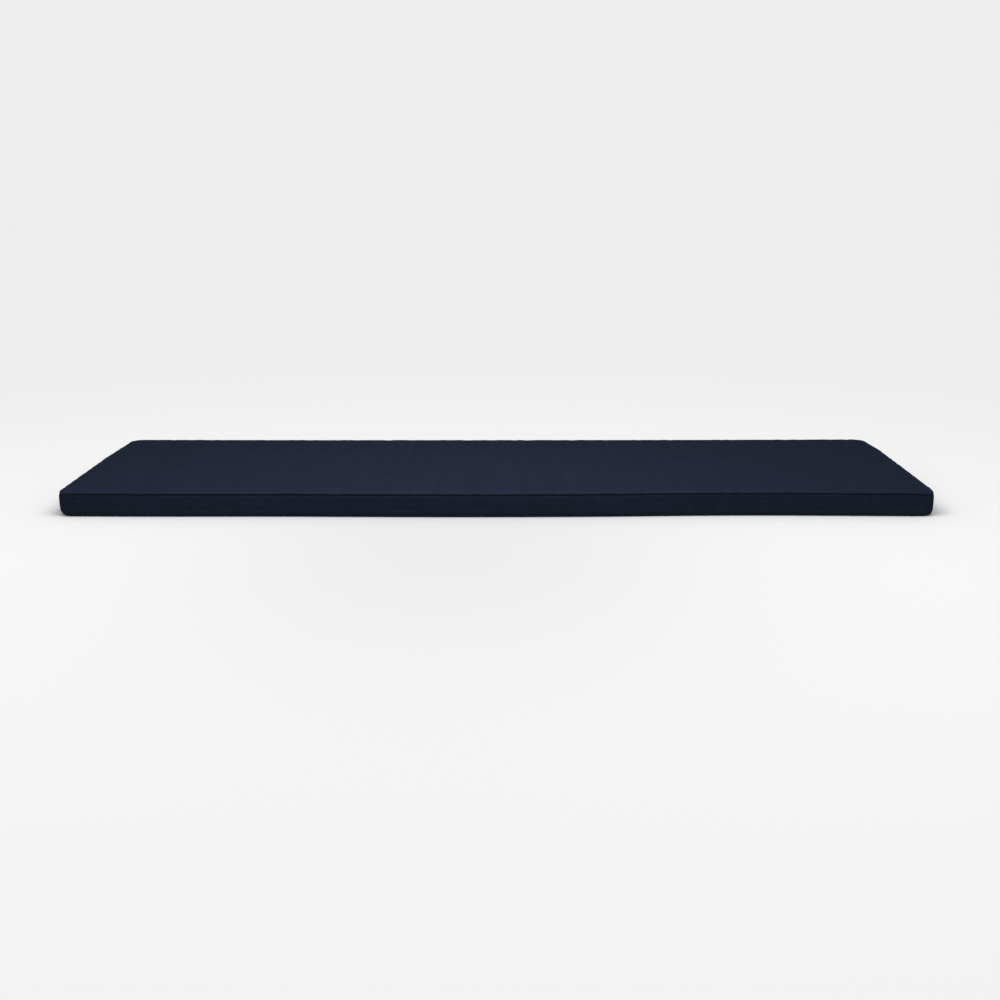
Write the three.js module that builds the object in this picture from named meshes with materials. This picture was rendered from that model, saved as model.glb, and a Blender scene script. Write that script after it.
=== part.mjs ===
// A long, flat seat cushion for a garden bench: a foam slab in a plain woven cover.
// The cover is a top panel, a boxing strip all round and a bottom panel, joined by two plain seams.
// Millimetres, +X along the bench, +Z up, the front edge towards -Y.
// The origin is on the underside, in the middle of the cushion.
import * as THREE from 'three';

// Driving dimensions
const LENGTH = 1630; // end to end
const DEPTH = 480; // front to back
const CORNER_RADIUS = 24; // of each corner, seen from above, at the fullest line of the boxing
const LOWER_SEAM = 5.2; // height of the seam between bottom panel and boxing
const UPPER_SEAM = 42; // height of the seam between boxing and top panel
const SHOULDER = 47; // height at which the top panel turns over towards the boxing
const SHOULDER_INSET = 8; // of that turn, inside the fullest line of the boxing
const CROWN = 4; // how much higher the middle of the top is than its shoulder
const CROWN_REACH = 200; // the top climbs to its crown over this distance from each edge
const RIM_INSET = 9; // of the flat underside, inside the fullest line of the boxing

// The side's shape from the underside up to the shoulder.
// Each seam is a groove between two soft rolls, and the boxing is fullest at mid height.
const SIDE_PROFILE = [
  { inset: RIM_INSET, height: 0 },
  { inset: 4.8, height: 0.4 },
  { inset: 2.6, height: 1.8 },
  { inset: 1.6, height: 4 },
  { inset: 3.4, height: LOWER_SEAM },
  { inset: 1.4, height: 6.8 },
  { inset: 0.5, height: 13 },
  { inset: 0, height: 23.5 },
  { inset: 0.5, height: 34 },
  { inset: 1.4, height: 40.2 },
  { inset: 3.6, height: UPPER_SEAM },
  { inset: 2.2, height: 43.4 },
  { inset: 2.8, height: 45.2 },
  { inset: 4.8, height: 46.4 },
  { inset: SHOULDER_INSET, height: SHOULDER },
];

// The front edge isn't straight: the filling pushes it out in one place and leaves it slack in another.
// middle: along the length, reach: to each side of it, out: how far the edge goes forward.
const FRONT_SWELLS = [
  { middle: -600, reach: 250, out: 2 },
  { middle: -55, reach: 520, out: 6 },
  { middle: 480, reach: 330, out: -5.5 },
];
const BACK_DRAWN_IN = 6; // how hollow the back edge is at its middle

// Corners are emptier than the rest, each in its own way.
// dip: how much the top sinks at the corner, fading out over DIP_REACH all round it.
// tuck: how far the foot of the corner is pulled in under it.
// pinch: how far the end is drawn in at the corner, fading out over pinchReach along the end.
const CORNERS = [
  { side: -1, end: -1, dip: 0.5, tuck: 4, pinch: 0, pinchReach: 100 },
  { side: 1, end: -1, dip: 2, tuck: 1, pinch: 0, pinchReach: 100 },
  { side: -1, end: 1, dip: 0.5, tuck: 2, pinch: 5.5, pinchReach: 190 },
  { side: 1, end: 1, dip: 0.5, tuck: 2, pinch: 7, pinchReach: 130 },
];
const DIP_REACH = 50;
const TUCK_HEIGHT = 18; // a tucked corner is full again from this height up

// Where the lines of the mesh run, from the edge inwards
const CORNER_STEPS = 4; // between the edge and the corner's centre
const NEAR_EDGE = [40, 65, 100, 150]; // distances from the edge
const MIDDLE_STEP = 75; // greatest distance between lines along the middle

const COVER = new THREE.MeshStandardMaterial({ color: 0x262c3c, roughness: 0.9, metalness: 0 });

// Lines across one direction, from the low edge to the high one.
// core: where the line runs, and out: for a line in a corner zone, its share of the way to the edge.
function meshLines(size) {
  const half = size / 2;
  const inner = half - CORNER_RADIUS;
  const near = half - NEAR_EDGE.at(-1);
  const steps = 2 * Math.ceil(near / MIDDLE_STEP);
  const lines = [];
  for (let step = CORNER_STEPS; step >= 0; step -= 1) {
    lines.push({ core: -inner, out: -step / CORNER_STEPS });
  }
  for (const distance of NEAR_EDGE) {
    lines.push({ core: distance - half, out: 0 });
  }
  for (let step = 1; step < steps; step += 1) {
    lines.push({ core: near * ((2 * step) / steps - 1), out: 0 });
  }
  for (const distance of NEAR_EDGE.toReversed()) {
    lines.push({ core: half - distance, out: 0 });
  }
  for (let step = 0; step <= CORNER_STEPS; step += 1) {
    lines.push({ core: inner, out: step / CORNER_STEPS });
  }
  return lines;
}

const acrossLength = meshLines(LENGTH);
const acrossDepth = meshLines(DEPTH);

// How far the foot of a corner is pulled in at a height; turn is 0 on the two edges and 1 between them.
function tuckedIn(lineX, lineY, height, turn) {
  const corner = CORNERS.find(
    (one) => one.side === Math.sign(lineX.out) && one.end === Math.sign(lineY.out),
  );
  if (!corner || height > TUCK_HEIGHT) {
    return 0;
  }
  return corner.tuck * turn * (1 - height / TUCK_HEIGHT) ** 2;
}

// The point in plan where two lines cross, on a cover whose outline lies inset inside the fullest one.
// In a corner zone the square of lines is bent into a quarter of a disc.
function planPoint(lineX, lineY, inset, height) {
  const outX = Math.abs(lineX.out);
  const outY = Math.abs(lineY.out);
  const share = Math.max(outX, outY);
  if (share === 0) {
    return [lineX.core, lineY.core];
  }
  const angle = (Math.PI / 4) * (Math.min(outX, outY) / share);
  const turn = Math.sin(2 * angle);
  const reach = (CORNER_RADIUS - inset - tuckedIn(lineX, lineY, height, turn)) * share;
  const along = reach * Math.cos(angle);
  const aside = reach * Math.sin(angle);
  const [moveX, moveY] = outX >= outY ? [along, aside] : [aside, along];
  return [
    lineX.core + Math.sign(lineX.out) * moveX,
    lineY.core + Math.sign(lineY.out) * moveY,
  ];
}

// 1 at the middle of a swell, falling smoothly to 0 at its reach.
function fade(distance, reach) {
  if (distance >= reach) {
    return 0;
  }
  return Math.cos((Math.PI / 2) * (distance / reach)) ** 2;
}

// 0 at the shoulder, rising to 1 where the top has its full crown.
function crownShare(distance) {
  const share = THREE.MathUtils.clamp(distance / CROWN_REACH, 0, 1);
  return 1 - (1 - share) ** 2;
}

function crownAt(x, y) {
  const fromEnd = LENGTH / 2 - SHOULDER_INSET - Math.abs(x);
  const fromSide = DEPTH / 2 - SHOULDER_INSET - Math.abs(y);
  return CROWN * crownShare(fromEnd) * crownShare(fromSide);
}

// Moves a point of the even cushion to where the filling really leaves it.
function settled(x, y, z) {
  const alongShare = x / (LENGTH / 2);
  const depthShare = y / (DEPTH / 2);
  let swell = 0;
  for (const { middle, reach, out } of FRONT_SWELLS) {
    swell += out * fade(Math.abs(x - middle), reach);
  }
  const frontMove = -swell * Math.max(0, -depthShare);
  const backMove = -BACK_DRAWN_IN * Math.max(0, depthShare) * (1 - alongShare ** 2);

  let sink = 0;
  let endMove = 0;
  for (const { side, end, dip, pinch, pinchReach } of CORNERS) {
    const awayX = x - side * (LENGTH / 2);
    const awayY = y - end * (DEPTH / 2);
    sink += dip * fade(Math.hypot(awayX, awayY), DIP_REACH);
    endMove -= pinch * Math.max(0, side * alongShare) * side * fade(Math.abs(awayY), pinchReach);
  }
  const upperShare = THREE.MathUtils.clamp((z - LOWER_SEAM) / (UPPER_SEAM - LOWER_SEAM), 0, 1);
  return [x + endMove, y + frontMove + backMove, z - sink * upperShare];
}

// The filled cushion as one closed surface
function cushionGeometry() {
  const positions = [];
  const triangles = [];
  const lastX = acrossLength.length - 1;
  const lastY = acrossDepth.length - 1;

  function addPoint(i, j, inset, height, crowned) {
    const [x, y] = planPoint(acrossLength[i], acrossDepth[j], inset, height);
    const z = crowned ? height + crownAt(x, y) : height;
    positions.push(...settled(x, y, z));
    return positions.length / 3 - 1;
  }

  function addPanel({ inset, height }, crowned) {
    return acrossLength.map((_, i) => acrossDepth.map((__, j) => addPoint(i, j, inset, height, crowned)));
  }

  function addQuad(a, b, c, d) {
    triangles.push(a, b, c, a, c, d);
  }

  // The crossings on the outline, counterclockwise seen from above
  const outline = [];
  for (let i = 0; i < lastX; i += 1) {
    outline.push([i, 0]);
  }
  for (let j = 0; j < lastY; j += 1) {
    outline.push([lastX, j]);
  }
  for (let i = lastX; i > 0; i -= 1) {
    outline.push([i, lastY]);
  }
  for (let j = lastY; j > 0; j -= 1) {
    outline.push([0, j]);
  }

  const bottom = addPanel(SIDE_PROFILE[0], false);
  const top = addPanel(SIDE_PROFILE.at(-1), true);
  const rings = [
    outline.map(([i, j]) => bottom[i][j]),
    ...SIDE_PROFILE.slice(1, -1).map(({ inset, height }) =>
      outline.map(([i, j]) => addPoint(i, j, inset, height, false))),
    outline.map(([i, j]) => top[i][j]),
  ];

  for (let i = 0; i < lastX; i += 1) {
    for (let j = 0; j < lastY; j += 1) {
      addQuad(top[i][j], top[i + 1][j], top[i + 1][j + 1], top[i][j + 1]);
      addQuad(bottom[i][j], bottom[i][j + 1], bottom[i + 1][j + 1], bottom[i + 1][j]);
    }
  }
  for (let row = 1; row < rings.length; row += 1) {
    const lower = rings[row - 1];
    const upper = rings[row];
    for (let at = 0; at < outline.length; at += 1) {
      const next = (at + 1) % outline.length;
      addQuad(lower[at], lower[next], upper[next], upper[at]);
    }
  }

  const geometry = new THREE.BufferGeometry();
  geometry.setAttribute('position', new THREE.Float32BufferAttribute(positions, 3));
  geometry.setIndex(triangles);
  return geometry;
}

// The uneven edges shift the middle a little, so the shape is put back over the origin.
function centred(geometry) {
  geometry.computeBoundingBox();
  const middle = geometry.boundingBox.getCenter(new THREE.Vector3());
  geometry.translate(-middle.x, -middle.y, -geometry.boundingBox.min.z);
  geometry.computeVertexNormals();
  return geometry;
}

const cushion = new THREE.Mesh(centred(cushionGeometry()), COVER);
cushion.name = 'cushion';

const part = new THREE.Group();
part.add(cushion);

export default part;
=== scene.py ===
import math

import bpy
import numpy as np
from mathutils import Euler, Matrix, Vector


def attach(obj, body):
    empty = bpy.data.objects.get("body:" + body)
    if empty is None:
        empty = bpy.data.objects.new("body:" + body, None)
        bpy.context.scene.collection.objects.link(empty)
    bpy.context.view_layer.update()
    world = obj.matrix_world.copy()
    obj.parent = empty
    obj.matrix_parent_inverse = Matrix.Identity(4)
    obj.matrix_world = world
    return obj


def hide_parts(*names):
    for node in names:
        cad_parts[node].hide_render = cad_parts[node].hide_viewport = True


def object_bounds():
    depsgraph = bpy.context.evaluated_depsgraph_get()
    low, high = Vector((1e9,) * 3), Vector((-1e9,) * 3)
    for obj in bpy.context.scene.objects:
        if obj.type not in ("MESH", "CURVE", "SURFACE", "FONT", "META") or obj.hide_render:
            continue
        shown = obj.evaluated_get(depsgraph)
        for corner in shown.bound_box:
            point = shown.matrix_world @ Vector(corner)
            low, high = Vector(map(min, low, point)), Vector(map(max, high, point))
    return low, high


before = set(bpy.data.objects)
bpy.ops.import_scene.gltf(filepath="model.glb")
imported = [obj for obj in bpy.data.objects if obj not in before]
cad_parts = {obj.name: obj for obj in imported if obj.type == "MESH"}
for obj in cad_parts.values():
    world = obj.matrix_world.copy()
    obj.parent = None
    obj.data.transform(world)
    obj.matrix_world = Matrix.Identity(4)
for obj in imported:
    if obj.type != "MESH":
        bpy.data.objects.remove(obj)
CAD_LOW, CAD_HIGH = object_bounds()

# Sizes of the cushion, in metres
LENGTH = CAD_HIGH.x - CAD_LOW.x
DEPTH = 0.48
CORNER_RADIUS = 0.024
LOWER_SEAM = 0.0052
UPPER_SEAM = 0.042
SHOULDER = 0.047
SHOULDER_INSET = 0.008
CROWN = 0.004
CROWN_REACH = 0.2
RIM_INSET = 0.009

# The side from the flat underside to the shoulder of the top, as (inset, height)
SIDE_PROFILE = (
    (RIM_INSET, 0),
    (0.0048, 0.0004),
    (0.0026, 0.0018),
    (0.0015, 0.0038),
    (0.0020, LOWER_SEAM),
    (0.0009, 0.0063),
    (0.0004, 0.0090),
    (0.0002, 0.0145),
    (0.0000, 0.0235),
    (0.0002, 0.0330),
    (0.0004, 0.0383),
    (0.0009, 0.0409),
    (0.0032, UPPER_SEAM),
    (0.0016, 0.0430),
    (0.0016, 0.0442),
    (0.0027, 0.0457),
    (0.0048, 0.0466),
    (SHOULDER_INSET, SHOULDER),
)
SEAM_ROWS = [row for row, (_, height) in enumerate(SIDE_PROFILE) if height in (LOWER_SEAM, UPPER_SEAM)]
SAME_HEIGHT = 1e-6  # heights that are closer than this are one height

# Where the front edge swells or lies slack, as (middle, reach, how far out)
FRONT_SWELLS = ((-0.6, 0.25, 0.002), (-0.055, 0.52, 0.006), (0.48, 0.33, -0.0055))
BACK_DRAWN_IN = 0.006
# The corners, as (side, end, dip of the top, tuck of the foot, pinch of the end, reach of the pinch)
CORNERS = (
    (-1, -1, 0.0005, 0.004, 0.0, 0.1),
    (1, -1, 0.002, 0.001, 0.0, 0.1),
    (-1, 1, 0.0005, 0.002, 0.0055, 0.19),
    (1, 1, 0.0005, 0.002, 0.007, 0.13),
)
DIP_REACH = 0.05
TUCK_HEIGHT = 0.018

GRID = 0.0105  # of the mesh before it is subdivided
CORNER_STEPS = 4
TOP, BOXING, BOTTOM = range(3)

OUTLINE_ARC = CORNER_RADIUS * math.pi / 2
HALF_X, HALF_Y = LENGTH / 2, DEPTH / 2
CORE_X, CORE_Y = HALF_X - CORNER_RADIUS, HALF_Y - CORNER_RADIUS
OUTLINE = 4 * (CORE_X + CORE_Y + OUTLINE_ARC)


# The shape of the filled cushion

def mesh_lines(core):
    """The lines across one direction: where each runs, and its share of the way out in a corner."""
    steps = np.linspace(0, 1, CORNER_STEPS + 1)
    middle = np.linspace(-core, core, 2 * math.ceil(core / GRID) + 1)[1:-1]
    place = np.concatenate([np.full_like(steps, -core), middle, np.full_like(steps, core)])
    out = np.concatenate([-steps[::-1], np.zeros_like(middle), steps])
    return place, out


def plan_points(place_x, out_x, place_y, out_y, inset, height):
    """Where lines cross in plan. In a corner the square of lines is bent into a quarter disc."""
    far_x, far_y = abs(out_x), abs(out_y)
    share = np.maximum(far_x, far_y)
    angle = math.pi / 4 * np.minimum(far_x, far_y) / np.where(share > 0, share, 1)
    tuck = np.zeros_like(share)
    for side, end, _, most, _, _ in CORNERS:
        tuck[(np.sign(out_x) == side) & (np.sign(out_y) == end)] = most
    low = max(0, 1 - height / TUCK_HEIGHT) ** 2
    reach = (CORNER_RADIUS - inset - tuck * low * np.sin(2 * angle)) * share
    along, aside = reach * np.cos(angle), reach * np.sin(angle)
    x = place_x + np.sign(out_x) * np.where(far_x >= far_y, along, aside)
    y = place_y + np.sign(out_y) * np.where(far_x >= far_y, aside, along)
    return x, y


def fade(distance, reach):
    """1 at the middle, falling smoothly to 0 at reach."""
    return np.cos(math.pi / 2 * np.clip(distance / reach, 0, 1)) ** 2


def crown(x, y):
    """How much the top rises above its shoulder."""
    share = 1
    for half, place in ((HALF_X, x), (HALF_Y, y)):
        inside = np.clip((half - SHOULDER_INSET - abs(place)) / CROWN_REACH, 0, 1)
        share = share * (1 - (1 - inside) ** 2)
    return CROWN * share


def settled(even):
    """The even cushion's points, moved to where the filling leaves them."""
    x, y, z = even.T
    along, across = x / HALF_X, y / HALF_Y
    swell = sum(out * fade(abs(x - middle), reach) for middle, reach, out in FRONT_SWELLS)
    hollow = BACK_DRAWN_IN * np.maximum(across, 0) * (1 - along**2)
    sink, drawn_in = 0, 0
    for side, end, dip, _, pinch, reach in CORNERS:
        away_x, away_y = x - side * HALF_X, y - end * HALF_Y
        sink = sink + dip * fade(np.hypot(away_x, away_y), DIP_REACH)
        drawn_in = drawn_in + pinch * np.maximum(side * along, 0) * side * fade(abs(away_y), reach)
    upper = np.clip((z - LOWER_SEAM) / (UPPER_SEAM - LOWER_SEAM), 0, 1)
    front = y - swell * np.maximum(-across, 0)
    return np.stack([x - drawn_in, front - hollow, z - sink * upper], 1)


def outline_crossings(nx, ny):
    """The crossings of lines on the outline, seen from above anticlockwise."""
    sides = [
        [(i, 0) for i in range(nx - 1)],
        [(nx - 1, j) for j in range(ny - 1)],
        [(i, ny - 1) for i in range(nx - 1, 0, -1)],
        [(0, j) for j in range(ny - 1, 0, -1)],
    ]
    return np.concatenate(sides).T


def even_cushion():
    """The even cushion as a closed grid: its points, its faces and each face's panel."""
    place_x, out_x = mesh_lines(CORE_X)
    place_y, out_y = mesh_lines(CORE_Y)
    nx, ny = len(place_x), len(place_y)
    points, faces, panels = [], [], []

    def add_points(i, j, row, crowned=False):
        inset, height = SIDE_PROFILE[row]
        x, y = plan_points(place_x[i], out_x[i], place_y[j], out_y[j], inset, height)
        first = sum(map(len, points))
        points.append(np.stack([x, y, height + (crown(x, y) if crowned else 0 * x)], 1))
        return first + np.arange(len(x))

    def add_faces(panel, *corners):
        quads = np.stack([corner.ravel() for corner in corners], 1)
        faces.append(quads)
        panels.append(np.full(len(quads), panel))

    every = np.indices((nx, ny)).reshape(2, -1)
    bottom = add_points(*every, 0).reshape(nx, ny)
    top = add_points(*every, len(SIDE_PROFILE) - 1, crowned=True).reshape(nx, ny)
    add_faces(TOP, top[:-1, :-1], top[1:, :-1], top[1:, 1:], top[:-1, 1:])
    add_faces(BOTTOM, bottom[:-1, :-1], bottom[:-1, 1:], bottom[1:, 1:], bottom[1:, :-1])

    edge = outline_crossings(nx, ny)
    rings = [bottom[edge[0], edge[1]]]
    rings += [add_points(*edge, row) for row in range(1, len(SIDE_PROFILE) - 1)]
    rings += [top[edge[0], edge[1]]]
    low, high = SEAM_ROWS
    for row, (lower, upper) in enumerate(zip(rings, rings[1:])):
        panel = BOTTOM if row < low else TOP if row >= high else BOXING
        add_faces(panel, lower, np.roll(lower, -1), np.roll(upper, -1), upper)
    return np.concatenate(points), np.concatenate(faces), np.concatenate(panels)


# Meshes, and the values on them

def mesh_object(name, points, faces):
    mesh = bpy.data.meshes.new(name)
    mesh.from_pydata(points.tolist(), [], faces.tolist())
    mesh.validate()
    made = bpy.data.objects.new(name, mesh)
    bpy.context.scene.collection.objects.link(made)
    mesh.shade_smooth()
    return made


def values_of(data, name, count, size, kind=np.float32):
    found = np.empty(count * size, kind)
    data.foreach_get(name, found)
    return found.reshape(-1, size)


def points_of(mesh):
    return values_of(mesh.vertices, "co", len(mesh.vertices), 3).astype(float)


def move(mesh, by):
    mesh.vertices.foreach_set("co", (points_of(mesh) + by).astype(np.float32).ravel())
    mesh.update()


def keep(mesh, name, kind, domain, field, values):
    """Keeps a value on each point, edge or face of the mesh."""
    kept = mesh.attributes.new(name, kind, domain)
    kept.data.foreach_set(field, values.ravel())


def weigh(piece, name, weights):
    group = piece.vertex_groups.new(name=name)
    for place, weight in enumerate(weights):
        group.add([place], float(weight), "REPLACE")
    return group.name


def apply_modifiers(piece):
    graph = bpy.context.evaluated_depsgraph_get()
    mesh = bpy.data.meshes.new_from_object(piece.evaluated_get(graph), depsgraph=graph)
    piece.modifiers.clear()
    piece.data = mesh


# Places on the cover, from its even points

def on_seam(even):
    """Whether each point lies on one of the two seam lines."""
    heights = [SIDE_PROFILE[row][1] for row in SEAM_ROWS]
    return np.min([abs(even[:, 2] - height) for height in heights], 0) < SAME_HEIGHT


def around(even):
    """Length along the outline, from the middle of the back, seen from above anticlockwise."""
    x, y, _ = even.T
    far_x, far_y = abs(x), abs(y)
    turn = np.arctan2(np.maximum(far_y - CORE_Y, 0), np.maximum(far_x - CORE_X, 1e-9))
    in_corner = (far_x > CORE_X) & (far_y > CORE_Y)
    along = np.where(far_y - CORE_Y > far_x - CORE_X, CORE_Y + OUTLINE_ARC + CORE_X - far_x, far_y)
    along = np.where(in_corner, CORE_Y + CORNER_RADIUS * turn, along)
    quarter = OUTLINE / 4
    from_right = np.where(x < 0, 2 * quarter - along, along)
    from_right = np.where(y < 0, OUTLINE - from_right, from_right)
    return (from_right - quarter) % OUTLINE


def from_seam(even):
    """Distance across the cloth from the nearer seam."""
    x, y, z = even.T
    inside = np.minimum(HALF_X - abs(x), HALF_Y - abs(y))
    across = []
    for row in SEAM_ROWS:
        inset, height = SIDE_PROFILE[row]
        across.append(np.hypot(z - height, np.maximum(inside - inset, 0)))
    return np.minimum(*across)


# The cover: cloth a little larger than its foam, drawn up along its seams

FOAM_HOLD = 0.28  # how firmly the foam holds the cloth, where 1 is fast
SEAM_SLACK = 0.005  # how much larger the cloth is beside a seam, as a share
PANEL_SLACK = 0.001  # and from SLACK_REACH on
SLACK_REACH = 0.045
MOST_MOVED = 0.001
CLOTH_FRAMES = 20
CLOTH = {
    "quality": 6,
    "mass": 0.05,
    "tension_stiffness": 20,
    "compression_stiffness": 20,
    "shear_stiffness": 8,
    "bending_stiffness": 0.05,
    "air_damping": 2,
    "use_pressure": True,
    "uniform_pressure_force": 0.5,
    "pin_stiffness": 1,
    "shrink_min": -SEAM_SLACK,
    "shrink_max": -PANEL_SLACK,
}

# Puckers along the seams, as (how many round the cushion, height, turn of the first)
PUCKERS = ((137, 0.00012, 0.4), (181, 0.0001, 2.1), (226, 0.00009, 4.4))
PUCKER_PATCHES = ((11, 0.9), (17, 3.2))  # where they are stronger, as (how many, turn of the first)
PATCH_SHARE = 0.35
PUCKER_PEAK = 0.006  # they are highest this far from the seam
CORNER_GATHER = 1.5
GATHER_REACH = 0.07


def wrinkled(cover, even):
    """How the cloth moves when it is a little larger than the foam that holds it."""
    held = np.full(len(even), FOAM_HOLD)
    held[on_seam(even)] = 1
    held[even[:, 2] < LOWER_SEAM] = 1
    cloth = cover.modifiers.new("cloth", "CLOTH")
    cloth.collision_settings.use_collision = False
    settings = cloth.settings
    settings.effector_weights.gravity = 0
    settings.vertex_group_mass = weigh(cover, "held", held)
    further_in = np.clip(from_seam(even) / SLACK_REACH, 0, 1)
    settings.vertex_group_shrink = weigh(cover, "further_in", further_in)
    for name, value in CLOTH.items():
        setattr(settings, name, value)
    scene = bpy.context.scene
    for step in range(1, CLOTH_FRAMES + 1):
        scene.frame_set(step)
    evaluated = cover.evaluated_get(bpy.context.evaluated_depsgraph_get())
    moved = points_of(evaluated.data) - points_of(cover.data)
    cover.modifiers.remove(cloth)
    cover.vertex_groups.clear()
    scene.frame_set(1)
    far = np.linalg.norm(moved, axis=1, keepdims=True)
    return moved * np.minimum(1, MOST_MOVED / np.maximum(far, 1e-9))


def crease_seams(mesh, even):
    """Keeps the two seam lines sharp when the mesh is made finer."""
    ends = values_of(mesh.edges, "vertices", len(mesh.edges), 2, np.int32)
    sewn = on_seam(even)[ends].all(1)
    keep(mesh, "crease_edge", "FLOAT", "EDGE", "value", sewn.astype(np.float32))


def puckers(even):
    """How far the cloth stands out beside the seams, where sewing has drawn it up."""
    turn = 2 * math.pi * around(even) / OUTLINE
    height = sum(size * np.sin(count * turn + start) for count, size, start in PUCKERS)
    patches = 1
    for count, start in PUCKER_PATCHES:
        patches = patches * (1 - PATCH_SHARE + PATCH_SHARE * np.sin(count * turn + start))
    x, y, _ = even.T
    gather = 1 + CORNER_GATHER * fade(np.hypot(HALF_X - abs(x), HALF_Y - abs(y)), GATHER_REACH)
    share = from_seam(even) / PUCKER_PEAK
    free = np.clip(even[:, 2] / LOWER_SEAM, 0, 1)
    return height * patches * gather * free * share * np.exp(1 - share)


def lay_cloth(mesh, even):
    """Two maps in metres. cloth lies straight on each panel.

    sewing runs along the seams and away from them: up the boxing above 0, and into the panels below 0.
    """
    corners = values_of(mesh.loops, "vertex_index", len(mesh.loops), 1, np.int32).ravel()
    panels = values_of(mesh.attributes["panel"].data, "value", len(mesh.polygons), 1, np.int32).ravel()
    sides = values_of(mesh.polygons, "loop_total", len(mesh.polygons), 1, np.int32).ravel()
    face = np.repeat(np.arange(len(sides)), sides)
    x, y, z = even[corners].T
    along = around(even)[corners]
    furthest = np.zeros(len(sides))
    np.maximum.at(furthest, face, along)
    along = np.where(furthest[face] - along > OUTLINE / 2, along + OUTLINE, along)
    boxing = panels[face] == BOXING
    away = from_seam(even)[corners]
    for name, places in (
        ("cloth", (np.where(boxing, along, x), np.where(boxing, z, y))),
        ("sewing", (along, np.where(boxing, away, -away))),
    ):
        laid = mesh.uv_layers.new(name=name)
        laid.uv.foreach_set("vector", np.stack(places, 1).astype(np.float32).ravel())


def cushion_cover():
    even, faces, panels = even_cushion()
    cover = mesh_object("cushion_cover", settled(even), faces)
    move(cover.data, wrinkled(cover, even))
    crease_seams(cover.data, even)
    keep(cover.data, "even", "FLOAT_VECTOR", "POINT", "vector", even.astype(np.float32))
    keep(cover.data, "panel", "INT", "FACE", "value", panels.astype(np.int32))
    finer = cover.modifiers.new("finer", "SUBSURF")
    finer.levels = finer.render_levels = 1
    apply_modifiers(cover)

    mesh = cover.data
    even = values_of(mesh.attributes["even"].data, "vector", len(mesh.vertices), 3)
    normals = values_of(mesh.vertex_normals, "vector", len(mesh.vertices), 3)
    move(mesh, normals * puckers(even)[:, None])
    lay_cloth(mesh, even)
    mesh.attributes.remove(mesh.attributes["even"])
    return cover


def centre_in_box(cover):
    """The uneven edges shift the middle a little, so the cover is put back where its solid is."""
    points = points_of(cover.data)
    low, high = points.min(0), points.max(0)
    shift = (np.array(CAD_LOW) + np.array(CAD_HIGH) - low - high) / 2
    shift[2] = CAD_LOW.z - low[2]
    move(cover.data, shift)


# Materials

NOISE_LOW, NOISE_HIGH = 0.25, 0.75  # nearly all of a noise lies between these


class Finish:
    """A material whose nodes are added in few words."""

    def __init__(self, name):
        self.material = bpy.data.materials.new(name)
        self.material.use_nodes = True
        self.tree = self.material.node_tree
        self.shader = self.tree.nodes["Principled BSDF"]

    def put(self, socket, value):
        if isinstance(value, bpy.types.NodeSocket):
            self.tree.links.new(value, socket)
        else:
            socket.default_value = value

    def set(self, name, value):
        self.put(self.shader.inputs[name], value)

    def outputs(self, kind, inputs, **settings):
        made = self.tree.nodes.new("ShaderNode" + kind)
        for name, value in settings.items():
            setattr(made, name, value)
        for name, value in inputs.items():
            self.put(made.inputs[name], value)
        return made.outputs

    def node(self, kind, inputs, **settings):
        return self.outputs(kind, inputs, **settings)[0]

    def math(self, operation, *values):
        return self.node("Math", dict(enumerate(values)), operation=operation)

    def times(self, value, by):
        return self.math("MULTIPLY", value, by)

    def add(self, *values):
        total = values[0]
        for value in values[1:]:
            total = self.math("ADD", total, value)
        return total

    def mix(self, share, start, end):
        return self.node("Mix", {"Factor": share, "A": start, "B": end}, data_type="FLOAT")

    def place(self):
        """The point of the object."""
        return self.outputs("TexCoord", {})["Object"]

    def axes(self, name):
        """The two directions of one of the mesh's maps."""
        return self.outputs("SeparateXYZ", {0: self.node("UVMap", {}, uv_map=name)})[:2]

    def spread(self, u, v, per_u, per_v, detail=2):
        """Smooth chance, from -1 to 1, with per_u and per_v cells in a metre."""
        places = self.node("CombineXYZ", {0: self.times(u, per_u), 1: self.times(v, per_v)})
        chance = self.node("TexNoise", {"Vector": places, "Scale": 1, "Detail": detail})
        ends = {"From Min": NOISE_LOW, "From Max": NOISE_HIGH, "To Min": -1, "To Max": 1}
        return self.node("MapRange", {"Value": chance, **ends})

    def near(self, distance, full, gone):
        """1 up to the distance full, falling to 0 at gone."""
        ends = {"From Min": full, "From Max": gone, "To Min": 1, "To Max": 0}
        return self.node("MapRange", {"Value": distance, **ends}, interpolation_type="SMOOTHSTEP")


NAVY = (0.0094, 0.0121, 0.0215)
SEAM_PAINTED_LIGHT = (0.0017, 0.0019, 0.0024)  # painted light added to the dye on the rolls beside the seams; times a share below 0 it is painted shade
SHEEN_WEIGHT = 0.0142
SHEEN_ROUGHNESS = 0.45
SHEEN_TINT = (0.42, 0.56, 1, 1)
VALLEY_ROUGHNESS = 0.93  # between the threads
THREAD_SMOOTHNESS = 0.1  # how much less rough the threads are

# Lengths of the weave and of the sewing
THREAD_PITCH = 0.0009
THREAD_WANDER = 0.3 * THREAD_PITCH
THREAD_RISE = 0.00014
SLUB_RISE = 0.4 * THREAD_RISE
STITCH_PITCH = 0.0032
STITCH_DEPTH = 0.0004
DRAWN_RISE = 0.0004
THREAD_FLATNESS = 0.35  # the power that keeps a thread's height nearly even along it

# Cells of smooth chance in a metre, along and across, and some with their detail
PER_THREAD = 1 / THREAD_PITCH
WANDER_CELLS = (55, 60)
WEFT_CELLS = (9, PER_THREAD)
WARP_CELLS = (PER_THREAD, 11)
STREAK_CELLS = ((3.5, 190, 3), (150, 4, 3))
CLOUD_CELLS = ((8, 8, 2), (55, 55, 3))
CREASE_CELLS = (150, 22)

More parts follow.
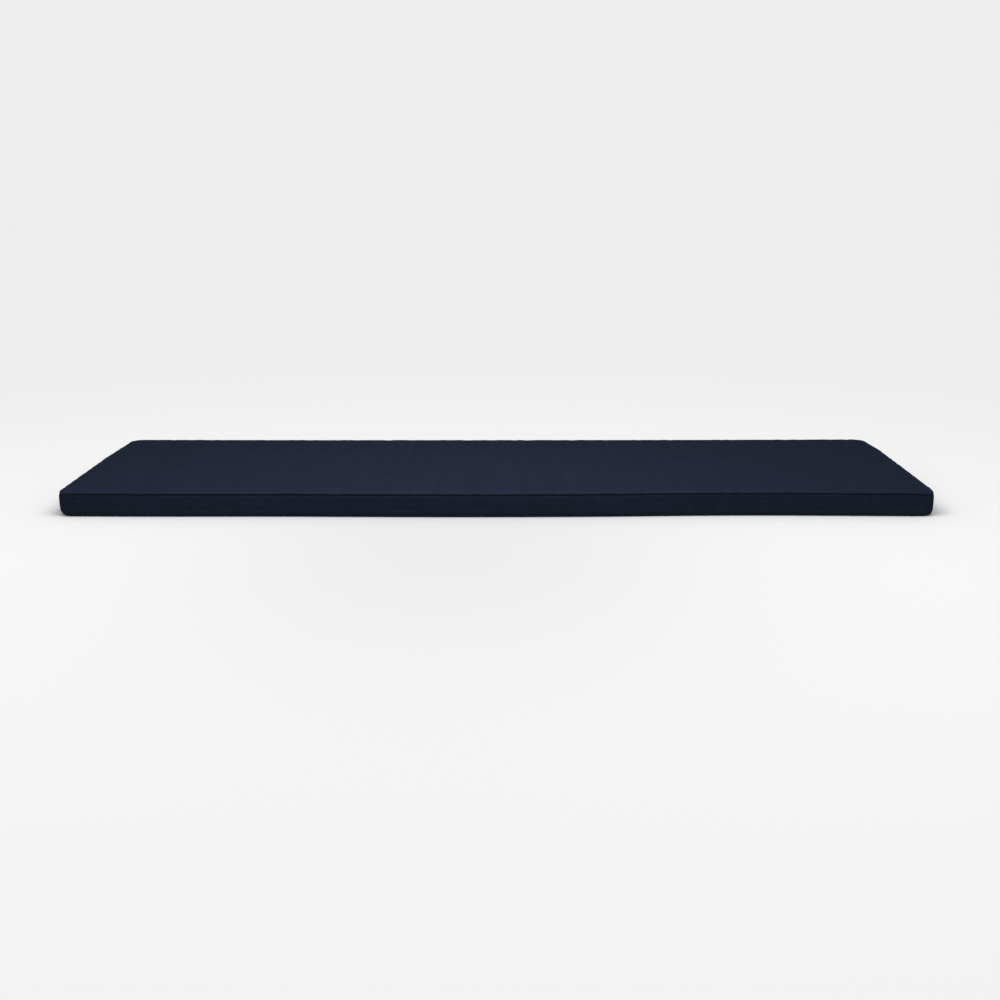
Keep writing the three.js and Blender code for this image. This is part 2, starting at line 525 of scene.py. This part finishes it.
# How light the cloth is between its threads, and what each thing adds to that
VALLEY_LIGHT = 0.72
THREAD_LIGHT = 0.55
SLUB_LIGHT = 0.2
STREAK_LIGHT = 0.075
CLOUD_LIGHT = 0.05

# How wide each thing beside a seam is, as (full up to here, gone from here on)
GROOVE_WIDTH = (0.0005, 0.0017)
ROLL_WIDTH = (0.006, 0.011)
CREASE_WIDTH = (0.002, 0.012)
STITCH_WIDTH = (0.001, 0.0035)
LOWER_GROOVE_SHADE, UPPER_GROOVE_SHADE = 0.12, 0.35  # painted shade in the seam's groove: how much darker the colour is there
# Painted light on the boxing beside each seam, against the painted highlight on the panel's roll there.
# Below 0 it is painted shade, darker than the dye.
LOWER_BOXING_PAINTED_LIGHT, UPPER_BOXING_PAINTED_SHADE = 0.8, -0.4


def plain_weave(finish, u, v):
    """The height of a plain weave, from 0 to 1, and which of its two threads is on top."""
    rounds, cells = [], []
    for place in (u, v):
        step = finish.math("DIVIDE", place, THREAD_PITCH)
        rounds.append(finish.math("ABSOLUTE", finish.math("SINE", finish.times(step, math.pi))))
        cells.append(finish.math("FLOOR", step))
    upright = finish.math("MODULO", finish.math("ABSOLUTE", finish.add(*cells)), 2)
    heights = []
    for across, lengthwise in (rounds, rounds[::-1]):
        heights.append(finish.times(across, finish.math("POWER", lengthwise, THREAD_FLATNESS)))
    return finish.mix(upright, *heights), upright


def uneven_weave(finish, u, v):
    """The height of the threads, which wander a little, and how thick each is from -1 to 1."""
    wander = finish.times(finish.spread(u, v, *WANDER_CELLS), THREAD_WANDER)
    height, upright = plain_weave(finish, finish.add(u, wander), finish.add(v, wander))
    slub = finish.mix(upright, finish.spread(u, v, *WARP_CELLS), finish.spread(u, v, *WEFT_CELLS))
    return height, slub


def cloth_light(finish, u, v, height, slub):
    """How light the cloth is, with the streaks and clouds of its threads."""
    streaks = finish.add(*(finish.spread(u, v, *cells) for cells in STREAK_CELLS))
    clouds = finish.add(*(finish.spread(u, v, *cells) for cells in CLOUD_CELLS))
    return finish.add(
        finish.times(height, THREAD_LIGHT),
        finish.times(slub, SLUB_LIGHT),
        finish.times(streaks, STREAK_LIGHT),
        finish.times(clouds, CLOUD_LIGHT),
        VALLEY_LIGHT,
    )


def seam_painted_shade_and_light(finish, panel, away):
    """Painted shade in the seam's groove, and painted light on the roll beside it: a painted highlight on
    the panel, painted light on the boxing above the lower seam and painted shade on the boxing under the
    upper seam.
    """
    height = finish.outputs("SeparateXYZ", {0: finish.place()})[2]
    upper = finish.math("GREATER_THAN", height, (LOWER_SEAM + UPPER_SEAM) / 2)
    # painted shade in the seam's groove
    groove_shade = finish.times(finish.near(away, *GROOVE_WIDTH), finish.mix(upper, LOWER_GROOVE_SHADE, UPPER_GROOVE_SHADE))
    roll = finish.times(finish.near(away, *ROLL_WIDTH), finish.math("SUBTRACT", 1, groove_shade))
    # painted light on the boxing above the lower seam, painted shade on it under the upper seam
    boxing = finish.mix(upper, LOWER_BOXING_PAINTED_LIGHT, UPPER_BOXING_PAINTED_SHADE)
    return groove_shade, finish.times(roll, finish.mix(panel, boxing, 1))


def navy_colour(finish, light, groove_shade, painted_light):
    # The dye, darkened by the painted shade in the seam's groove, with the painted light and shade beside
    # the seams added.
    light = finish.times(light, finish.math("SUBTRACT", 1, groove_shade))
    painted_light_colour = finish.node("VectorMath", {0: SEAM_PAINTED_LIGHT, 3: painted_light}, operation="SCALE")
    dyed = finish.node("VectorMath", {0: NAVY, 1: painted_light_colour}, operation="ADD")
    return finish.node("VectorMath", {0: dyed, 3: light}, operation="SCALE")


def cloth_rise(finish, along, away, height, slub):
    """The threads, the short creases that sewing pulls into the cloth, and a dimple at every stitch."""
    creases = finish.times(finish.spread(along, away, *CREASE_CELLS), finish.near(away, *CREASE_WIDTH))
    stitch = finish.math("COSINE", finish.times(along, 2 * math.pi / STITCH_PITCH))
    stitch = finish.times(finish.math("MAXIMUM", stitch, 0), finish.near(away, *STITCH_WIDTH))
    return finish.add(
        finish.times(height, THREAD_RISE),
        finish.times(slub, SLUB_RISE),
        finish.times(creases, DRAWN_RISE),
        finish.times(stitch, -STITCH_DEPTH),
    )


def navy_fabric():
    finish = Finish("navy_fabric")
    u, v = finish.axes("cloth")
    along, away = finish.axes("sewing")
    panel = finish.math("LESS_THAN", away, 0)
    away = finish.math("ABSOLUTE", away)
    height, slub = uneven_weave(finish, u, v)
    light = cloth_light(finish, u, v, height, slub)
    finish.set("Base Color", navy_colour(finish, light, *seam_painted_shade_and_light(finish, panel, away)))
    smoothness = finish.times(height, THREAD_SMOOTHNESS)
    finish.set("Roughness", finish.math("SUBTRACT", VALLEY_ROUGHNESS, smoothness))
    finish.set("Specular IOR Level", 0)
    finish.set("Sheen Weight", SHEEN_WEIGHT)
    finish.set("Sheen Roughness", SHEEN_ROUGHNESS)
    finish.set("Sheen Tint", SHEEN_TINT)
    rise = cloth_rise(finish, along, away, height, slub)
    finish.set("Normal", finish.node("Bump", {"Height": rise, "Distance": 1}))
    return finish.material


# The studio: an open pale floor under an even white sky, so that no horizon shows

FLOOR_SHADE = 0.845
FLOOR_ROUGHNESS = 0.95
FLOOR_RADIUS = 60
FLOOR_SIDES = 64
SKY = 0.85
SUN = 0.5
SUN_SPREAD = 40
SUN_FROM = (-0.12, -0.18, 1)
KEY_PLACE = (-0.08, -0.48, 1)
KEY_SIZE = (1, 0.7)
KEY_WATTS = 14.5
KEY_SHARE = 1.15  # its light right under it, against all the other light
KEY_FALL = 4  # its light on the floor falls off with this power of the distance


def floor_paint():
    """A pale, dull paint, darker right under the key light, so that the whole floor looks even."""
    finish = Finish("floor_paint")
    ends = {0: finish.place(), 1: KEY_PLACE}
    away = finish.outputs("VectorMath", ends, operation="DISTANCE")["Value"]
    nearness = finish.math("DIVIDE", KEY_PLACE[2], away)
    key_light = finish.times(finish.math("POWER", nearness, KEY_FALL), KEY_SHARE)
    finish.set("Base Color", finish.math("DIVIDE", FLOOR_SHADE, finish.add(key_light, 1)))
    finish.set("Roughness", FLOOR_ROUGHNESS)
    finish.set("Specular IOR Level", 0)
    return finish.material


def studio_floor():
    mesh = bpy.data.meshes.new("floor")
    turns = np.linspace(0, 2 * math.pi, FLOOR_SIDES, endpoint=False)
    rim = [(FLOOR_RADIUS * math.cos(turn), FLOOR_RADIUS * math.sin(turn), 0) for turn in turns]
    mesh.from_pydata(rim, [], [range(FLOOR_SIDES)])
    mesh.materials.append(floor_paint())
    floor = bpy.data.objects.new("floor", mesh)
    bpy.context.scene.collection.objects.link(floor)


def add_light(data, place, aim=(0, 0, 0)):
    light = bpy.data.objects.new(data.name, data)
    light.location = place
    light.rotation_euler = (Vector(aim) - Vector(place)).to_track_quat("-Z", "Y").to_euler()
    light.visible_camera = False
    bpy.context.scene.collection.objects.link(light)


def studio_lights():
    world = bpy.data.worlds.new("sky")
    world.use_nodes = True
    sky = world.node_tree.nodes["Background"]
    sky.inputs["Color"].default_value = (1, 1, 1, 1)
    sky.inputs["Strength"].default_value = SKY
    bpy.context.scene.world = world
    sun = bpy.data.lights.new("overhead", "SUN")
    sun.energy = SUN
    sun.angle = math.radians(SUN_SPREAD)
    add_light(sun, SUN_FROM)
    key = bpy.data.lights.new("key", "AREA")
    key.shape = "RECTANGLE"
    key.size, key.size_y = KEY_SIZE
    key.energy = KEY_WATTS
    add_light(key, KEY_PLACE, aim=(*KEY_PLACE[:2], 0))


# The camera, from the cushion's outline in the photo
FOCAL_PIXELS = 1254.9
PICTURE_PIXELS = 1000
SENSOR_WIDTH = 36
CAMERA_PLACE = (0.0247, -2.4793, 0.618)
CAMERA_DOWN = 14.635
CAMERA_TURN = 0.412
CAMERA_ROLL = -0.118


def photo_camera():
    data = bpy.data.cameras.new("camera")
    data.sensor_width = SENSOR_WIDTH
    data.lens = SENSOR_WIDTH * FOCAL_PIXELS / PICTURE_PIXELS
    camera = bpy.data.objects.new("camera", data)
    aim = Euler((math.radians(90 - CAMERA_DOWN), 0, math.radians(CAMERA_TURN))).to_matrix()
    roll = Matrix.Rotation(math.radians(CAMERA_ROLL), 3, "Z")
    camera.matrix_world = Matrix.Translation(CAMERA_PLACE) @ (aim @ roll).to_4x4()
    bpy.context.scene.collection.objects.link(camera)
    bpy.context.scene.camera = camera


photo_camera()
cover = cushion_cover()
centre_in_box(cover)
cover.data.materials.append(navy_fabric())
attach(cover, "root")
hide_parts("cushion")

studio_floor()
studio_lights()
bpy.context.scene.view_settings.view_transform = "Standard"
